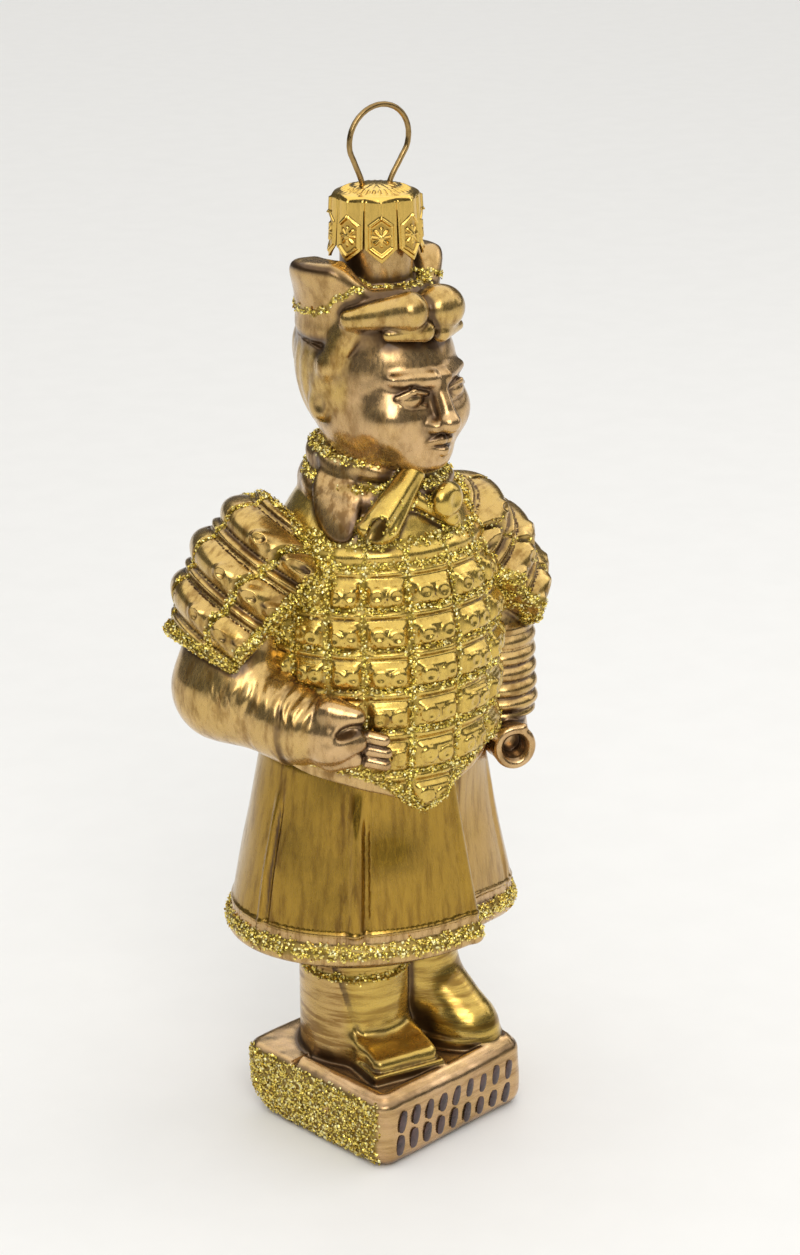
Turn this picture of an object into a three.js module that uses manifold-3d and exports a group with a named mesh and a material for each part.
// A hanging ornament of blown and lacquered glass: an armoured officer in a long coat, standing on a
// square plinth, with a crimped metal cap over the glass neck and a wire loop sprung into it.
// Millimetres, +Z up. The origin is at the bottom centre of the plinth, and -Y is the plinth's front.
//
// The glass is one free form. It is worked out as a distance field (negative inside), joined from
// ellipsoids, tapering bars, rounded blocks and elliptic columns with soft fillets, meshed on a
// grid and then thinned by edge collapses.
import * as THREE from 'three';
import { mergeVertices } from 'three/addons/utils/BufferGeometryUtils.js';
import Module from 'manifold-3d';

const wasm = await Module();
wasm.setup();

// ---------------------------------------------------------------- driving dimensions
const OVERALL_HEIGHT = 140;                  // underside of the plinth to the top of the wire loop
const BODY_TURN = -16.5;                     // degrees about Z: the body faces a little to its right of the plinth
const PLINTH = { half: 14.1, height: 9.7, corner: 2.8, x: -0.3, y: -0.55, rim: 0.5 };
const LEGS = { low: 8.5, top: 29.5 };
const HEM = 29.2;                            // height of the coat's hem in front
const SKIRT = { x: -0.5, y: 1.6 };           // centre of the coat's skirt, in the body's frame
const TORSO = { x: 0, y: 1.2 };              // centre of the torso
const ARMOUR_ROWS = [83.0, 77.7, 72.5, 67.1, 61.4, 55.2, 49.2];   // upper edges of the rows of plates
const ARMOUR_COLUMNS = [14, 39, 64, 88, 112, 137, 162];           // degrees from the front, both ways
const ARMOUR_TOP = 85.8;
const SHIELD = { x: -15.7, y: 3.2, z: 75.6, wide: 10.4, long: 15.2, lean: 22, row: 6.4 };   // shoulder piece
const HEAD_FORWARD = 1.4;
const NECK = { radius: 4.7, low: 114, top: 127.4, bore: 3.6, depth: 14 };      // the glass tube under the cap
const CAP = { top: 128.9, rim: 5.5, skirt: 5.9, wall: 0.5, shoulder: 125.4, tip: 121.2, tabs: 8, firstTab: -39.5 };
const WIRE = { radius: 0.36, loop: 4.3, turn: -14, lean: 5, slot: 1.9, foot: 2.5, footZ: 116 };
const GRID = 0.8;                            // cell of the meshing grid
const FIGURE_TRIANGLES = 7300;

// ---------------------------------------------------------------- small tools
const rad = (deg) => deg * Math.PI / 180;
const clamp = (v, lo, hi) => Math.min(hi, Math.max(lo, v));
const ease = (x, lo, hi) => { const t = clamp((x - lo) / (hi - lo), 0, 1); return t * t * (3 - 2 * t); };
const bump = (x, width) => { const t = Math.max(0, 1 - (x / width) ** 2); return t * t; };
const join = (a, b, fillet) => {             // soft union
  const h = clamp(0.5 + 0.5 * (b - a) / fillet, 0, 1);
  return b + (a - b) * h - fillet * h * (1 - h);
};
const cut = (a, b, round) => -join(-a, -b, round);   // soft intersection
const wrap = (deg) => ((deg + 180) % 360 + 360) % 360 - 180;

// Cubic through the values at the knots, with slopes from the neighbours.
function curve(knots, values) {
  const slopes = values.map((v, i) => {
    if (i === 0) return (values[1] - v) / (knots[1] - knots[0]);
    if (i === values.length - 1) return (v - values[i - 1]) / (knots[i] - knots[i - 1]);
    const before = knots[i] - knots[i - 1], after = knots[i + 1] - knots[i];
    return (before ** 2 * (values[i + 1] - v) + after ** 2 * (v - values[i - 1])) / (before * after * (before + after));
  });
  return (t) => {
    let i = 0;
    while (i < knots.length - 2 && t > knots[i + 1]) i++;
    const h = knots[i + 1] - knots[i], u = clamp((t - knots[i]) / h, 0, 1);
    return (2 * u ** 3 - 3 * u ** 2 + 1) * values[i] + (u ** 3 - 2 * u ** 2 + u) * h * slopes[i]
      + (3 * u ** 2 - 2 * u ** 3) * values[i + 1] + (u ** 3 - u ** 2) * h * slopes[i + 1];
  };
}

// A point in the frame of something placed at c: turned about Z, then tilted about X, then rolled about Y.
function local([x, y, z], [cx, cy, cz], turn = 0, tilt = 0, roll = 0) {
  x -= cx; y -= cy; z -= cz;
  if (turn) { const c = Math.cos(rad(turn)), s = Math.sin(rad(turn)); [x, y] = [x * c + y * s, y * c - x * s]; }
  if (tilt) { const c = Math.cos(rad(tilt)), s = Math.sin(rad(tilt)); [y, z] = [y * c + z * s, z * c - y * s]; }
  if (roll) { const c = Math.cos(rad(roll)), s = Math.sin(rad(roll)); [x, z] = [x * c - z * s, z * c + x * s]; }
  return [x, y, z];
}
const turned = (p, deg) => local(p, [0, 0, 0], deg);
const flipped = ([x, y, z]) => [Math.abs(x), y, z];

function ellipsoid(p, centre, [a, b, c], turn, tilt, roll) {
  const [x, y, z] = local(p, centre, turn, tilt, roll);
  const k0 = Math.hypot(x / a, y / b, z / c) + 1e-6;
  const k1 = Math.hypot(x / a ** 2, y / b ** 2, z / c ** 2) + 1e-6;
  return k0 * (k0 - 1) / k1;
}
// A round bar from one end to the other, its radius changing evenly.
function bar([x, y, z], [ax, ay, az], [bx, by, bz], ra, rb) {
  const dx = bx - ax, dy = by - ay, dz = bz - az;
  const t = clamp(((x - ax) * dx + (y - ay) * dy + (z - az) * dz) / (dx * dx + dy * dy + dz * dz), 0, 1);
  return Math.hypot(x - ax - dx * t, y - ay - dy * t, z - az - dz * t) - (ra + (rb - ra) * t);
}
function block(p, centre, [hx, hy, hz], round) {
  const [x, y, z] = local(p, centre);
  const q = [Math.abs(x) - hx + round, Math.abs(y) - hy + round, Math.abs(z) - hz + round];
  return Math.hypot(...q.map((v) => Math.max(v, 0))) + Math.min(Math.max(...q), 0) - round;
}
// An upright elliptic column of half width a and half depth b.
function column([x, y], [cx, cy], a, b) {
  x -= cx; y -= cy;
  const k0 = Math.hypot(x / a, y / b) + 1e-6, k1 = Math.hypot(x / a ** 2, y / b ** 2) + 1e-6;
  return k0 * (k0 - 1) / k1;
}
function ring(p, centre, a, b, tube, tilt = 0) {
  const q = local(p, centre, 0, tilt);
  return Math.hypot(column(q, [0, 0], a, b), q[2]) - tube;
}
const around = ([x, y], c, a, b) => Math.atan2((x - c.x) / a, -(y - c.y) / b) * 180 / Math.PI;   // 0 in front

// ---------------------------------------------------------------- plinth, legs and shoes
function plinth([x, y, z]) {
  const qx = Math.abs(x - PLINTH.x) - PLINTH.half + PLINTH.corner;
  const qy = Math.abs(y - PLINTH.y) - PLINTH.half + PLINTH.corner;
  const plan = Math.hypot(Math.max(qx, 0), Math.max(qy, 0)) + Math.min(Math.max(qx, qy), 0) - PLINTH.corner;
  const rim = PLINTH.rim * bump(plan + 1.9, 1.3) * ease(-y, -3.4, -2.8);
  return cut(cut(plan, z - PLINTH.height - rim, 1.5), -z, 2.4);
}

function legs(p) {
  const right = column(p, [-4.6, 2.6], 6.9, 7.3), left = column(p, [6.0, 3.0], 6.4, 7.0);
  const middle = (LEGS.low + LEGS.top) / 2;
  return cut(join(right, left, 0.8), Math.abs(p[2] - middle) - (LEGS.top - LEGS.low) / 2, 1.0);
}

function shoes(p) {
  const [, y, z] = p;
  const slope = (z - 13.2 - (y + 11) * 0.30) * 0.95;         // the square shoe's upper falls to its toe
  const heel = block(p, [-3.1, 0.5, 11.5], [5.0, 8.5, 3.4], 1.2);
  const toe = block(p, [-2.5, -5.5, 10.4], [4.9, 6.2, 3.5], 0.9);
  const square = cut(join(heel, toe, 1.0), slope, 0.8);
  const squareSole = block(p, [-2.5, -3.0, 9.8], [5.5, 9.3, 1.5], 0.5);
  const q = turned([p[0] - 7.0, p[1] - 1.5, z], 26);         // the other shoe is round and turned out
  const round = cut(ellipsoid(q, [0.3, -4.8, 11.0], [5.0, 7.4, 5.0]), 9.2 - z, 0.6);
  const roundSole = cut(column(q, [0.3, -4.4], 5.7, 7.9), Math.abs(z - 9.8) - 1.5, 0.6);
  return join(join(join(square, round, 0.5), squareSole, 0.35), roundSole, 0.35);
}

// ---------------------------------------------------------------- coat and armour
const skirtWidth = curve([26, 30.5, 35.5, 40, 47, 52, 58], [20.6, 20.3, 19.4, 18.5, 17.0, 16.0, 14.8]);
const skirtDepth = curve([26, 30.5, 35.5, 40, 47, 52, 58], [17.1, 16.9, 16.3, 15.6, 14.3, 13.6, 12.8]);
const torsoWidth = curve([44, 52, 60, 70, 78, 84, 88, 92, 96], [15.5, 16.0, 16.6, 17.0, 16.6, 14.5, 12.0, 9.5, 8.5]);
const torsoDepth = curve([44, 52, 60, 70, 78, 84, 88, 92, 96], [13.0, 14.4, 15.4, 15.8, 14.6, 12.6, 11.0, 9.4, 8.5]);
const PLEATS = [[-31, 1.2, 0.5], [24, 0.9, 0.35], [-76, 0.8, 0.4], [62, 0.9, 0.35], [104, 0.8, 0.4], [-130, 1.0, 0.4],
  [180, 1.1, 0.4], [130, 1.0, 0.4]];         // angle, half width and depth of each fold line

function skirt(p) {
  const z = p[2], centre = [SKIRT.x, SKIRT.y];
  const angle = around(p, SKIRT, skirtWidth(z), skirtDepth(z));
  let d = column(p, centre, skirtWidth(z), skirtDepth(z));
  for (const [at, width, depth] of PLEATS) {
    const off = wrap(angle - at) * rad(18);
    d += -depth * bump(off, width) * ease(z, 29, 36) * 0.9 + 0.30 * bump(off - width * 1.05, 0.5);
  }
  // the hem sinks towards the left side, where the side panel hangs a step higher than the front one
  const hem = HEM - 2.1 * ease(angle, 20, 80) * ease(-angle, -170, -110)
    + 1.1 * ease(angle, 60, 63) * ease(-angle, -120, -112);
  d = cut(d, hem - z, 1.6);
  const edge = Math.hypot(column(p, centre, 19.8, 16.5), z - hem - 1.0) - 1.15;
  const groove = Math.hypot(column(p, centre, 20.9, 17.5), z - hem - 3.0) - 0.55;
  d = cut(join(d, edge, 0.6), -groove, 0.4);
  const lining = cut(column(p, centre, 16.6, 13.6), Math.abs(z - HEM + 0.8) - 1.9, 1.4);
  return cut(join(d, lining, 0.5), z - 57, 3.0);
}

// Lower edge of the armour: a point in front and level at the sides.
const armourEdge = ([x]) => 47.2 + 9.4 * Math.tanh(Math.sqrt(x * x + 1.2) / 8);

// Plates: in each row a flange, then a plate with two studs to every column.
function armourRelief(p) {
  const z = p[2], angle = around(p, TORSO, torsoWidth(z), torsoDepth(z));
  let relief = 0, stud = 0, gap = 0;
  ARMOUR_ROWS.forEach((top, i) => {
    const pitch = top - (ARMOUR_ROWS[i + 1] ?? top - 6.2);
    const u = (top - z) / pitch;
    if (u < 0 || u >= 1) return;
    relief = 0.34 * bump(u - 0.13, 0.13) + 0.55 * ease(u, 0.24, 0.38) * ease(-u, -1.0, -0.88);
    for (const middle of [0, -26.5, 26.5, -51.5, 51.5, -76, 76]) {
      for (const side of [-5.2, 5.2]) {
        stud = Math.max(stud, bump(Math.hypot((angle - middle - side) * 0.27, (u - 0.6) * pitch), 1.0));
      }
    }
  });
  for (const column of ARMOUR_COLUMNS) gap = Math.max(gap, bump((Math.abs(angle) - column) * 0.27, 0.55));
  return relief * (1 - 0.9 * gap) + 0.42 * stud;
}

function armour(p) {
  const z = p[2];
  let d = column(p, [TORSO.x, TORSO.y], torsoWidth(z), torsoDepth(z)) + 0.25;
  d -= armourRelief(p) + 0.4 * bump(z - (ARMOUR_TOP + ARMOUR_ROWS[0]) / 2, 1.4);
  return cut(cut(d, armourEdge(p) - z, 0.9), z - 95, 2);
}

function coatEdge(p) {                       // a lip of the coat, just below the armour
  const z = p[2], drop = 0.3 + 1.8 * ease(Math.abs(p[0]), 2, 9);
  const d = column(p, [TORSO.x, TORSO.y], torsoWidth(z), torsoDepth(z)) + 0.65;
  return cut(cut(d, armourEdge(p) - drop - z, 0.7), z - 60, 2);
}

// ---------------------------------------------------------------- shoulders, sleeves and hands
// A shield over the shoulder, worked out for the right side (-X) and mirrored for the left.
function shoulder(p, side) {
  let [x, y, z] = [-p[0] * side, p[1], p[2]];
  if (side > 0) { x -= 1.3; z += 1.2; } else x += 0.6;
  let d = ellipsoid([x, y, z], [SHIELD.x, SHIELD.y, SHIELD.z], [SHIELD.wide, SHIELD.wide, SHIELD.long], 0, 0, SHIELD.lean);
  const down = -0.57 * x + 0.17 * y - 0.80 * z + 68.5;       // along the shield from its top
  const across = y + 0.28 * (z - 82) + 4.6;                  // from its front column line to the back
  const rows = down / SHIELD.row, u = rows - Math.floor(rows);
  const rib = 0.70 * ease(u, 0.02, 0.12) * ease(-u, -0.66, -0.56) + 0.5 * bump(u - 0.74, 0.085) + 0.5 * bump(u - 0.91, 0.08);
  const gap = clamp(bump(across, 0.6) + bump(across - 9.1, 0.6), 0, 1);
  let stud = 0;
  for (const at of [-4.6, -1.8, 2.4, 6.6]) stud = Math.max(stud, bump(Math.hypot((u - 0.34) * SHIELD.row, across - at), 1.05));
  d -= (rib * (1 - 0.85 * gap) + 0.4 * stud) * ease(rows, -0.1, 0.1);
  d = cut(d, -0.564 * x - 0.826 * z + 44.6, 0.8);                                // lower edge
  d = cut(d, 0.524 * (x + Math.abs(y - SHIELD.y)) - 0.655 * z + 54.0, 0.8);      // front and back edges
  return cut(d, 0.94 * x + 0.05 * y + 0.34 * z - 18.2, 0.8);                     // towards the neck
}

function rightArm(p) {
  const [x, y, z] = p;
  let d = join(bar(p, [-16.5, 4.6, 79], [-20.9, 3.3, 65.4], 6.6, 6.9), bar(p, [-20.9, 3.0, 65.0], [-14.8, -6.6, 61.8], 6.7, 5.3), 2.5);
  const along = (x + 20.9) * 0.54 - (y - 3.0) * 0.84;
  d -= 0.16 * Math.sin(along * 3.1 + 0.9 * Math.sin(z * 0.9)) * ease(z, 60, 66) * ease(along, 1, 4);
  let cuff = bar(p, [-17.0, -3.1, 63.0], [-14.4, -7.2, 61.6], 5.9, 5.75);
  cuff = cut(cut(cuff, 6.4 - along, 0.5), along - 10.6, 0.8);
  return join(d, cuff, 0.3);
}

function rightHand(p) {                      // closed in front of the belly, with fingertips beside it
  let d = ellipsoid(p, [-12.3, -9.9, 61.3], [3.9, 4.4, 4.9], -30);
  for (let i = 0; i < 4; i++) {
    const z = 63.4 - i * 1.7;
    d = join(d, bar(p, [-13.2, -13.2, z + 0.2], [-9.6, -13.6, z - 0.2], 1.2, 1.1), 0.4);
  }
  d = join(d, bar(p, [-14.6, -11.4, 65.4], [-10.0, -13.0, 65.0], 1.3, 1.2), 0.45);
  const tips = bar(p, [-6.4, -13.6, 62.6], [-6.2, -14.1, 57.4], 1.1, 1.1) - 0.25 * Math.cos((p[2] - 57.4) * 2 * Math.PI / 1.75);
  return join(d, tips, 0.2);
}

function leftArm(p) {                        // the forearm's sleeve is gathered in five rings
  const z = p[2];
  const upper = bar(p, [16.4, 4.4, 78], [18.2, 2.0, 66], 6.2, 5.8);
  let lower = bar(p, [18.2, 1.5, 66], [17.9, -0.6, 58.0], 5.3, 4.9);
  lower -= 0.62 * Math.cos(2 * Math.PI * (z - 56.2) / 2.55) * ease(z, 56, 57) * ease(-z, -69.5, -68);
  return join(upper, cut(lower, 56 - z, 0.6), 0.8);
}

function leftHand(p) {                       // curled round a shaft that is missing, so a hole faces forward
  let d = ellipsoid(p, [17.3, -3.6, 51.7], [3.6, 4.4, 4.1], 0, 10);
  d = join(d, bar(p, [17.9, -1.0, 57.0], [17.8, -2.4, 53], 4.0, 4.0), 1.0);
  for (let i = 0; i < 4; i++) {
    const y = -6.8 + i * 1.75;
    d = join(d, bar(p, [19.6, y, 53.3], [19.0, y, 49.6], 1.15, 1.05), 0.4);
  }
  return cut(d, -ellipsoid(p, [17.5, -8.4, 51.6], [1.6, 3.2, 2.0]), 0.5);
}

// ---------------------------------------------------------------- collar, head and headdress
function collar(p) {
  return join(ring(p, [0.3, 1.0, 94.6], 6.9, 6.9, 2.2, 5), ring(p, [0.2, 1.0, 91.0], 8.0, 7.8, 2.3, 6), 0.35);
}

function scarf(p) {                          // a rolled end in front, a flap on the right, a knot on the left
  let tail = bar(p, [-0.8, -9.0, 94.0], [-5.6, -11.6, 87.4], 1.9, 2.7);
  tail = cut(tail, -ellipsoid(p, [-6.6, -13.6, 87.4], [1.4, 1.7, 1.8]), 0.6);
  const flap = ellipsoid(p, [-9.0, -6.6, 89.0], [3.4, 1.8, 5.2], -42, -38);
  const knot = join(ellipsoid(p, [4.4, -10.6, 90.0], [2.5, 2.0, 2.2], 25), ellipsoid(p, [4.7, -12.4, 90.2], [1.0, 0.7, 1.0], 25), 0.2);
  const strap = bar(p, [0.6, -9.4, 93.0], [3.6, -10.6, 90.6], 1.5, 1.7);
  return join(join(tail, flap, 0.3), join(knot, strap, 0.5), 0.4);
}

function head(point) {
  const p = [point[0], point[1] + HEAD_FORWARD, point[2]], m = flipped(p), [x, y, z] = p;
  let d = join(ellipsoid(p, [0, 1.0, 106.0], [9.6, 10.4, 11.0]), ellipsoid(p, [0, -1.6, 99.6], [7.7, 8.2, 6.6]), 4.0);
  d = join(d, ellipsoid(p, [0, -7.4, 96.4], [3.0, 2.6, 2.3]), 2.5);                       // chin
  d = join(d, ellipsoid(m, [4.6, -6.3, 101.3], [3.2, 2.9, 3.0]), 2.2);                    // cheeks
  d = cut(d, -ellipsoid(m, [3.5, -10.9, 104.5], [2.9, 1.7, 1.9]), 1.5);                   // eye sockets
  d = join(d, bar(m, [1.0, -9.45, 106.5], [5.6, -7.9, 106.9], 0.85, 0.6), 1.3);           // brows
  let nose = join(bar(p, [0, -9.3, 106.2], [0, -11.4, 101.2], 0.75, 1.05), ellipsoid(p, [0, -11.5, 100.9], [1.25, 1.25, 1.05]), 0.7);
  nose = join(nose, ellipsoid(m, [1.35, -10.5, 100.6], [0.85, 1.1, 0.8]), 0.5);
  d = join(d, nose, 0.9);
  d = join(d, ellipsoid(m, [3.45, -8.0, 104.4], [1.75, 1.7, 1.25]), 0.35);                // eyes
  const lips = join(bar(m, [0, -10.35, 98.85], [2.3, -9.15, 98.35], 0.62, 0.32), bar(m, [0, -10.15, 97.65], [1.7, -9.25, 97.85], 0.68, 0.36), 0.12);
  d = join(d, lips, 0.45);
  d = join(d, ellipsoid(m, [9.4, 1.6, 103.6], [1.0, 1.7, 2.7], 0, 12), 0.6);              // ears
  d = join(d, cut(column(p, [0, 1.2], 6.4, 6.6), Math.abs(z - 93) - 6, 1), 2.0);          // neck
  let hair = ellipsoid(p, [0, 1.6, 106.6], [10.2, 10.8, 11.2]);
  const hairline = y + 3.4 - (z - 104) * 0.12 - 12.8 * ease(z, 109.2, 112.2);
  hair = cut(cut(hair, -hairline, 0.8), 97 - z, 3.0) - 0.06 * Math.sin(Math.atan2(x, y - 1) * 26);
  return join(join(d, hair, 0.4), ellipsoid(p, [0, 11.2, 108.0], [4.2, 3.0, 4.6]), 0.8);  // and a bun behind
}

function hairRolls(p) {                      // a roll each side of the brow, a round one between, locks beneath
  let d = join(bar(p, [-4.2, -10.2, 114.6], [-9.2, -4.2, 113.8], 2.3, 1.5), bar(p, [4.6, -8.6, 114.6], [9.2, -3.4, 113.8], 2.0, 1.5), 0.3);
  d = join(d, ellipsoid(p, [0.6, -9.8, 115.0], [3.1, 2.6, 2.8]), 0.3);
  d = join(d, bar(p, [-0.6, -11.1, 112.2], [-4.6, -9.6, 111.6], 1.25, 0.9), 0.35);
  d = join(d, bar(p, [-4.4, -9.7, 112.0], [-8.4, -6.0, 111.6], 1.0, 0.7), 0.35);
  return join(d, bar(p, [1.4, -11.0, 112.2], [6.4, -9.0, 111.6], 1.2, 0.8), 0.35);
}

const capWidth = curve([111, 114, 117, 120, 122.5], [8.9, 8.9, 9.3, 10.9, 12.4]);
const capDepth = curve([111, 114, 117, 120, 122.5], [9.3, 9.0, 8.9, 9.2, 9.4]);
function headdress([x, y, z]) {              // flares to a wing on each side of the neck tube
  const p = [x + 0.8, y + 0.6, z];
  let d = column(p, [0, 1.6], capWidth(z), capDepth(z));
  const angle = Math.atan2(Math.abs(p[0]) / 10, -(p[1] - 1.6) / 9) * 180 / Math.PI;
  d = cut(d, z - 115.6 - 5.4 * ease(angle, 48, 62) * ease(-angle, -138, -112), 1.0);
  const bowl = cut(column(p, [0, 1.6], 6.9, 7.4), 116.2 - z, 2.0);
  return cut(cut(d, -bowl, 0.8), 112 - z, 2);
}

// ---------------------------------------------------------------- the whole figure
function figureField(p) {
  const q = turned(p, BODY_TURN);
  let d = join(skirt(q), legs(q), 0.8);
  d = join(join(d, shoes(q), 0.5), plinth(p), 0.5);
  d = join(join(d, coatEdge(q), 0.35), armour(q), 0.35);
  d = join(join(d, rightArm(q), 0.7), leftArm(q), 0.6);
  d = join(join(d, shoulder(q, -1), 0.35), shoulder(q, 1), 0.35);
  d = join(join(d, rightHand(q), 0.5), leftHand(q), 0.5);
  d = join(join(d, collar(q), 0.6), scarf(q), 0.35);
  return join(join(join(d, head(p), 0.5), headdress(p), 0.5), hairRolls(p), 0.5);
}

// ---------------------------------------------------------------- meshing
// Surface nets: one vertex in each grid cell that the surface crosses, moved onto the surface, and one
// quad across each grid edge that changes sign.
function polygonise(field, low, high, step) {
  const n = low.map((v, i) => Math.ceil((high[i] - v) / step) + 1);
  const stride = [1, n[0], n[0] * n[1]];
  const values = new Float64Array(n[0] * n[1] * n[2]);
  const place = (i, j, k) => [low[0] + i * step, low[1] + j * step, low[2] + k * step];
  for (let k = 0, id = 0; k < n[2]; k++) for (let j = 0; j < n[1]; j++) for (let i = 0; i < n[0]; i++) values[id++] = field(place(i, j, k));
  // a grid face whose corners alternate would pinch the surface, so its nearest outside corner is filled
  for (let found = true; found;) {
    found = false;
    for (const [s, t] of [[stride[0], stride[1]], [stride[1], stride[2]], [stride[0], stride[2]]]) {
      for (let id = 0; id + s + t < values.length; id++) {
        const square = [id, id + s, id + s + t, id + t].map((c) => values[c]);
        if ((square[0] < 0) === (square[2] < 0) && (square[1] < 0) === (square[3] < 0) && (square[0] < 0) !== (square[1] < 0)) {
          const outer = square[0] < 0 ? [id + s, id + t] : [id, id + s + t];
          values[values[outer[0]] < values[outer[1]] ? outer[0] : outer[1]] = -0.01 * step;
          found = true;
        }
      }
    }
  }
  const points = [], faces = [], cell = new Int32Array(values.length).fill(-1);
  const slope = (p) => [0, 1, 2].map((i) => {
    const q = [...p], r = [...p];
    q[i] += 0.03; r[i] -= 0.03;
    return (field(q) - field(r)) / 0.06;
  });
  const vertex = (id) => {
    if (cell[id] >= 0) return cell[id];
    const at = place(id % n[0], Math.floor(id / stride[1]) % n[1], Math.floor(id / stride[2]));
    const sum = [0, 0, 0];
    let crossings = 0;
    for (let c = 0; c < 8; c++) for (let axis = 0; axis < 3; axis++) {
      if (c & (1 << axis)) continue;
      const offset = [c & 1, (c >> 1) & 1, c >> 2], from = id + offset[0] * stride[0] + offset[1] * stride[1] + offset[2] * stride[2];
      const a = values[from], b = values[from + stride[axis]];
      if ((a < 0) === (b < 0)) continue;
      offset[axis] = a / (a - b);
      for (let i = 0; i < 3; i++) sum[i] += offset[i];
      crossings++;
    }
    const p = at.map((v, i) => v + step * sum[i] / crossings), g = slope(p), d = field(p), steep = g[0] ** 2 + g[1] ** 2 + g[2] ** 2;
    const move = clamp(d / Math.max(steep, 0.25), -0.4 * step, 0.4 * step);
    cell[id] = points.push(p.map((v, i) => v - g[i] * move)) - 1;
    return cell[id];
  };
  for (let id = 0; id < values.length; id++) for (let axis = 0; axis < 3; axis++) {
    const next = id + stride[axis], s = stride[(axis + 1) % 3], t = stride[(axis + 2) % 3];
    if (next >= values.length || id - s - t < 0 || (values[id] < 0) === (values[next] < 0)) continue;
    let quad = [id - s - t, id - t, id, id - s].map(vertex);
    if (values[id] >= 0) quad = quad.reverse();
    faces.push([quad[0], quad[1], quad[2]], [quad[0], quad[2], quad[3]]);
  }
  return { points, faces };
}

// The outer surface alone, without the small pockets that pieces close off between them.
function outerShell({ points, faces }) {
  const parent = points.map((_, i) => i);
  const root = (v) => { while (parent[v] !== v) v = parent[v] = parent[parent[v]]; return v; };
  for (const [a, b, c] of faces) { parent[root(a)] = root(b); parent[root(b)] = root(c); }
  const tally = new Map();
  for (const [a] of faces) tally.set(root(a), (tally.get(root(a)) ?? 0) + 1);
  const largest = [...tally].reduce((best, entry) => (entry[1] > best[1] ? entry : best))[0];
  return { points, faces: faces.filter(([a]) => root(a) === largest) };
}

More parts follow.
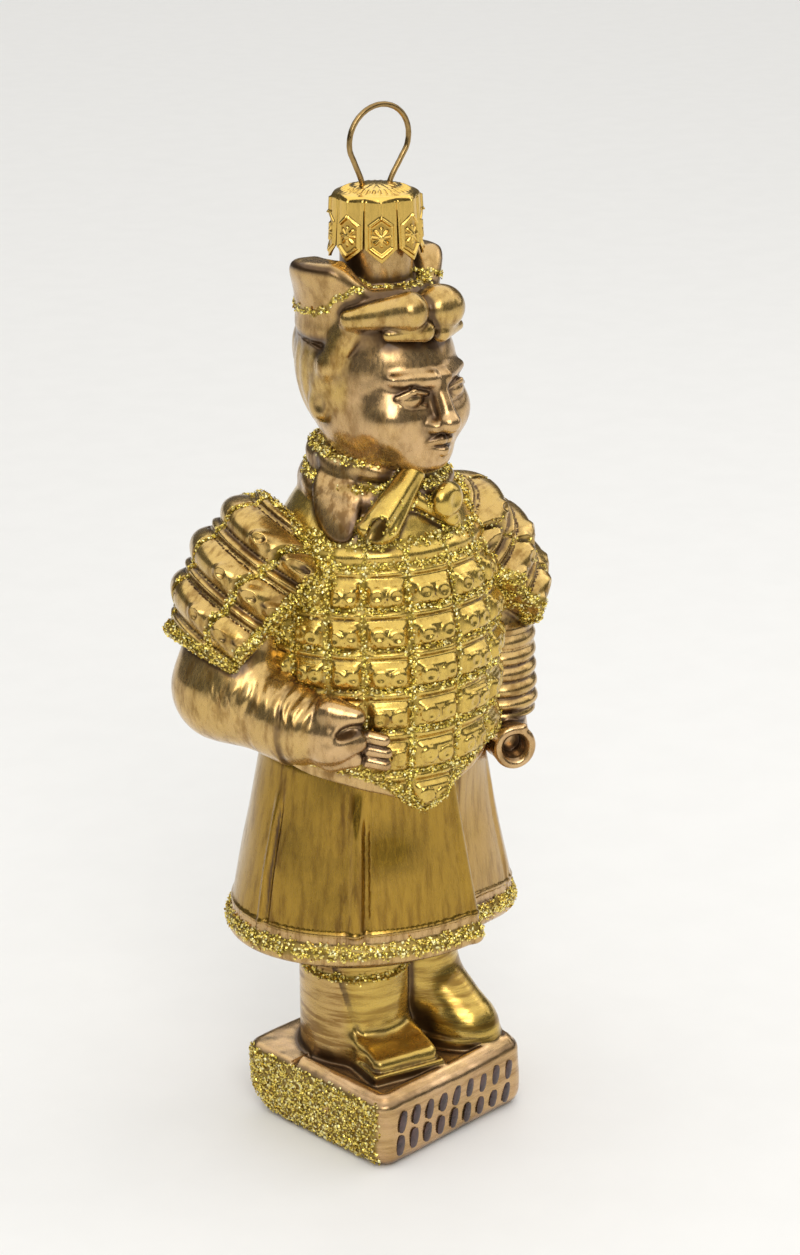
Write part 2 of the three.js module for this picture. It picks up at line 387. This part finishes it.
// Thins a closed mesh by collapsing the edge with the least quadric error, again and again.
function thin({ points, faces }, target) {
  const count = points.length, alive = faces.map(() => true);
  const touching = points.map(() => new Set());
  faces.forEach((f, i) => f.forEach((v) => touching[v].add(i)));
  const sub = (a, b) => [a[0] - b[0], a[1] - b[1], a[2] - b[2]];
  const cross = (a, b) => [a[1] * b[2] - a[2] * b[1], a[2] * b[0] - a[0] * b[2], a[0] * b[1] - a[1] * b[0]];
  const dot = (a, b) => a[0] * b[0] + a[1] * b[1] + a[2] * b[2];
  const quadric = points.map(() => new Float64Array(10));
  for (const f of faces) {
    const n = cross(sub(points[f[1]], points[f[0]]), sub(points[f[2]], points[f[0]])), area = Math.hypot(...n);
    if (area < 1e-12) continue;
    const [a, b, c] = n.map((v) => v / area), d = -dot([a, b, c], points[f[0]]);
    const q = [a * a, a * b, a * c, a * d, b * b, b * c, b * d, c * c, c * d, d * d];
    for (const v of f) q.forEach((s, i) => { quadric[v][i] += s * area; });
  }
  const error = (q, [x, y, z]) => q[0] * x * x + 2 * q[1] * x * y + 2 * q[2] * x * z + 2 * q[3] * x + q[4] * y * y
    + 2 * q[5] * y * z + 2 * q[6] * y + q[7] * z * z + 2 * q[8] * z + q[9];
  const best = (u, v) => {
    const q = quadric[u].map((s, i) => s + quadric[v][i]);
    const middle = points[u].map((s, i) => (s + points[v][i]) / 2);
    const reach = Math.hypot(...sub(points[u], points[v]));
    const det = q[0] * (q[4] * q[7] - q[5] ** 2) - q[1] * (q[1] * q[7] - q[5] * q[2]) + q[2] * (q[1] * q[5] - q[4] * q[2]);
    const choices = [middle, points[u], points[v]];
    const scale = q[0] + q[4] + q[7];
    if (Math.abs(det) > 1e-5 * scale ** 3) {
      const [r, s, t] = [-q[3], -q[6], -q[8]];
      choices.push([
        (r * (q[4] * q[7] - q[5] ** 2) - q[1] * (s * q[7] - q[5] * t) + q[2] * (s * q[5] - q[4] * t)) / det,
        (q[0] * (s * q[7] - t * q[5]) - r * (q[1] * q[7] - q[5] * q[2]) + q[2] * (q[1] * t - s * q[2])) / det,
        (q[0] * (q[4] * t - s * q[5]) - q[1] * (q[1] * t - s * q[2]) + r * (q[1] * q[5] - q[4] * q[2])) / det,
      ]);
      if (Math.hypot(...sub(choices[3], middle)) > reach) choices.pop();
    }
    let chosen = choices[0], least = Infinity;
    for (const c of choices) { const e = error(q, c); if (e < least) { least = e; chosen = c; } }
    return { cost: Math.max(least, 0) + 1e-7 * reach * reach, place: chosen };
  };
  // a heap of edges; an entry goes stale when either end has moved since
  const stamp = new Int32Array(count), heap = [];
  const push = (entry) => {
    let i = heap.push(entry) - 1;
    while (i > 0) { const up = (i - 1) >> 1; if (heap[up].cost <= heap[i].cost) break; [heap[up], heap[i]] = [heap[i], heap[up]]; i = up; }
  };
  const pop = () => {
    const top = heap[0], last = heap.pop();
    if (heap.length) {
      heap[0] = last;
      for (let i = 0; ;) {
        let s = i; const l = 2 * i + 1, r = l + 1;
        if (l < heap.length && heap[l].cost < heap[s].cost) s = l;
        if (r < heap.length && heap[r].cost < heap[s].cost) s = r;
        if (s === i) break;
        [heap[s], heap[i]] = [heap[i], heap[s]]; i = s;
      }
    }
    return top;
  };
  const neighbours = (v) => { const s = new Set(); for (const f of touching[v]) for (const w of faces[f]) if (w !== v) s.add(w); return s; };
  const offer = (u, v) => { const b = best(u, v); push({ cost: b.cost, place: b.place, u, v, su: stamp[u], sv: stamp[v], tries: 0 }); };
  for (let v = 0; v < count; v++) for (const w of neighbours(v)) if (v < w) offer(v, w);
  const longest2 = (t) => Math.max(...[[0, 1], [1, 2], [2, 0]].map(([a, b]) => dot(sub(t[a], t[b]), sub(t[a], t[b])))) + 1e-12;
  let left = faces.length;
  while (left > target && heap.length) {
    const entry = pop(), { u, v, su, sv, place } = entry;
    if (stamp[u] !== su || stamp[v] !== sv) continue;
    const ring1 = neighbours(u), ring2 = neighbours(v);
    if (!ring1.has(v)) continue;
    const shared = [...ring1].filter((w) => ring2.has(w));
    if (shared.length !== 2 || ring1.size + ring2.size > 22) continue;
    let good = true;
    for (const w of [u, v]) for (const f of touching[w]) {
      if (faces[f].includes(u) && faces[f].includes(v)) continue;
      const before = faces[f].map((c) => points[c]), after = faces[f].map((c) => (c === w ? place : points[c]));
      const n0 = cross(sub(before[1], before[0]), sub(before[2], before[0]));
      const n1 = cross(sub(after[1], after[0]), sub(after[2], after[0]));
      const l0 = Math.hypot(...n0), l1 = Math.hypot(...n1), shape0 = l0 / longest2(before), shape1 = l1 / longest2(after);
      if ((shape1 < 0.08 && shape1 < shape0) || dot(n0, n1) < 0.3 * l0 * l1) { good = false; break; }
    }
    if (!good) {                             // it may fit later, once its surroundings have changed
      if (entry.tries < 4) push({ ...entry, cost: entry.cost * 3 + 1e-6, tries: entry.tries + 1 });
      continue;
    }
    for (const f of [...touching[v]]) {
      if (faces[f].includes(u)) { alive[f] = false; left--; for (const w of faces[f]) touching[w].delete(f); }
      else { faces[f] = faces[f].map((w) => (w === v ? u : w)); touching[u].add(f); }
    }
    touching[v].clear();
    points[u] = place;
    for (let i = 0; i < 10; i++) quadric[u][i] += quadric[v][i];
    stamp[u]++; stamp[v]++;
    for (const w of neighbours(u)) offer(u, w);
  }
  const number = new Map(), kept = [];
  const triangles = faces.filter((f, i) => alive[i]).map((f) => f.map((v) => {
    if (!number.has(v)) number.set(v, kept.push(points[v]) - 1);
    return number.get(v);
  }));
  return { points: kept, faces: triangles };
}

// ---------------------------------------------------------------- solids
function toSolid(geometry) {
  const bare = geometry.clone();
  bare.deleteAttribute('normal');
  bare.deleteAttribute('uv');
  const merged = mergeVertices(bare, 1e-5);
  return new wasm.Manifold(new wasm.Mesh({
    numProp: 3, vertProperties: new Float32Array(merged.attributes.position.array), triVerts: new Uint32Array(merged.index.array),
  }));
}
function fromMesh({ points, faces }) {
  const geometry = new THREE.BufferGeometry();
  geometry.setAttribute('position', new THREE.Float32BufferAttribute(points.flat(), 3));
  geometry.setIndex(faces.flat());
  geometry.computeVertexNormals();
  return geometry;
}
function fromSolid(solid) {
  const mesh = solid.getMesh(), points = [], faces = [];
  for (let i = 0; i < mesh.numVert; i++) points.push([0, 1, 2].map((c) => mesh.vertProperties[i * mesh.numProp + c]));
  for (let i = 0; i < mesh.numTri; i++) faces.push([0, 1, 2].map((c) => mesh.triVerts[3 * i + c]));
  return fromMesh(outerShell({ points, faces }));
}
const upright = (geometry, z) => geometry.rotateX(Math.PI / 2).translate(0, 0, z);   // a cylinder stood on +Z

function makeFigure() {
  const shell = outerShell(polygonise(figureField, [-31, -21, -1.7], [29, 22, 123.5], GRID));
  const mesh = thin(shell, FIGURE_TRIANGLES);
  const body = fromMesh({ points: mesh.points.map(([x, y, z]) => [x, y, Math.abs(z) < 0.05 ? 0 : z]), faces: mesh.faces });
  const middle = (NECK.low + NECK.top) / 2;
  const tube = upright(new THREE.CylinderGeometry(NECK.radius, NECK.radius, NECK.top - NECK.low, 36), middle);
  const bore = upright(new THREE.CylinderGeometry(NECK.bore, NECK.bore, NECK.depth + 2, 24), NECK.top - NECK.depth / 2 + 1);
  return fromSolid(toSolid(body).add(toSolid(tube)).subtract(toSolid(bore)));
}

// The cap: a cup whose wall ends in pointed tabs, with a slot in its top for the wire.
function makeCap() {
  const steps = CAP.tabs * 6, half = 180 / CAP.tabs;
  const points = [], faces = [];
  const drop = (deg) => {                    // the wall's lower edge: tabs with straight sides and a point
    const off = Math.abs(wrap(2 * half * Math.round((deg - CAP.firstTab) / (2 * half)) + CAP.firstTab - deg));
    return off > half * 0.84 ? CAP.shoulder : CAP.tip + 1.7 * off / (half * 0.84);
  };
  const profile = (z0) => {                  // radius and height, from the middle of the top, out, down, in and up
    const outer = (z) => CAP.rim + (CAP.skirt - CAP.rim) * (CAP.top - z) / (CAP.top - CAP.tip);
    return [[3.6, CAP.top + 0.45], [CAP.rim - 0.5, CAP.top + 0.1], [CAP.rim, CAP.top - 0.5], [outer(CAP.shoulder), CAP.shoulder], [outer(z0), z0],
      [outer(z0) - CAP.wall, z0], [outer(CAP.shoulder) - CAP.wall, CAP.shoulder + 0.01], [CAP.rim - CAP.wall, CAP.top - CAP.wall - 0.6], [3.6, CAP.top - CAP.wall]];
  };
  const rows = profile(0).length, top = points.push([0, 0, CAP.top + 0.6]) - 1;
  const angles = [];
  for (let t = 0; t < CAP.tabs; t++) for (const f of [-0.86, -0.84, -0.42, 0, 0.42, 0.84, 0.86]) angles.push(CAP.firstTab + half * (2 * t + f));
  for (const deg of angles) for (const [r, z] of profile(drop(deg))) {
    points.push([r * Math.sin(rad(deg)), -r * Math.cos(rad(deg)), z]);
  }
  const under = points.push([0, 0, CAP.top - CAP.wall + 0.1]) - 1;
  const at = (column, row) => 1 + (column % angles.length) * rows + row;
  angles.forEach((_, c) => {
    faces.push([top, at(c, 0), at(c + 1, 0)], [under, at(c + 1, rows - 1), at(c, rows - 1)]);
    for (let r = 0; r < rows - 1; r++) faces.push([at(c, r), at(c, r + 1), at(c + 1, r + 1)], [at(c, r), at(c + 1, r + 1), at(c + 1, r)]);
  });
  const slot = new THREE.BoxGeometry(2 * WIRE.slot + 2.2, 1.5, 4).rotateZ(rad(WIRE.turn)).translate(0, 0, CAP.top);
  return fromSolid(toSolid(fromMesh({ points, faces })).subtract(toSolid(slot)));
}

// The hanger: legs that spring apart inside the neck and a loop above the cap.
function makeWire() {
  const centre = OVERALL_HEIGHT - WIRE.loop - WIRE.radius, half = [];
  half.push([WIRE.foot, WIRE.footZ], [WIRE.slot + 0.1, CAP.top - 3], [WIRE.slot, CAP.top + 0.6]);
  for (const deg of [-38, -14, 12, 38, 64]) half.push([WIRE.loop * Math.cos(rad(deg)), centre + WIRE.loop * Math.sin(rad(deg))]);
  const line = [...half.map(([x, z]) => [-x, z]), [0, centre + WIRE.loop], ...half.map(([x, z]) => [x, z]).reverse()];
  const path = new THREE.CatmullRomCurve3(line.map(([x, z]) => new THREE.Vector3(x + Math.max(0, z - CAP.top) * Math.tan(rad(WIRE.lean)), 0, z)), false, 'centripetal');
  const section = new THREE.Shape().absarc(0, 0, WIRE.radius, 0, 2 * Math.PI);
  return new THREE.ExtrudeGeometry(section, { extrudePath: path, steps: 56, curveSegments: 4, bevelEnabled: false }).rotateZ(rad(WIRE.turn));
}

// ---------------------------------------------------------------- scene graph
const ornament = new THREE.Group();
function addPiece(name, geometry, color, roughness, metalness) {
  const mesh = new THREE.Mesh(geometry, new THREE.MeshStandardMaterial({ color, roughness, metalness }));
  mesh.name = name;
  ornament.add(mesh);
}
addPiece('glass_figure', makeFigure(), 0xa8823c, 0.28, 0.85);
addPiece('crimped_cap', makeCap(), 0xd9ae3e, 0.25, 1.0);
addPiece('wire_hanger', makeWire(), 0xa8763a, 0.3, 1.0);

export default ornament;
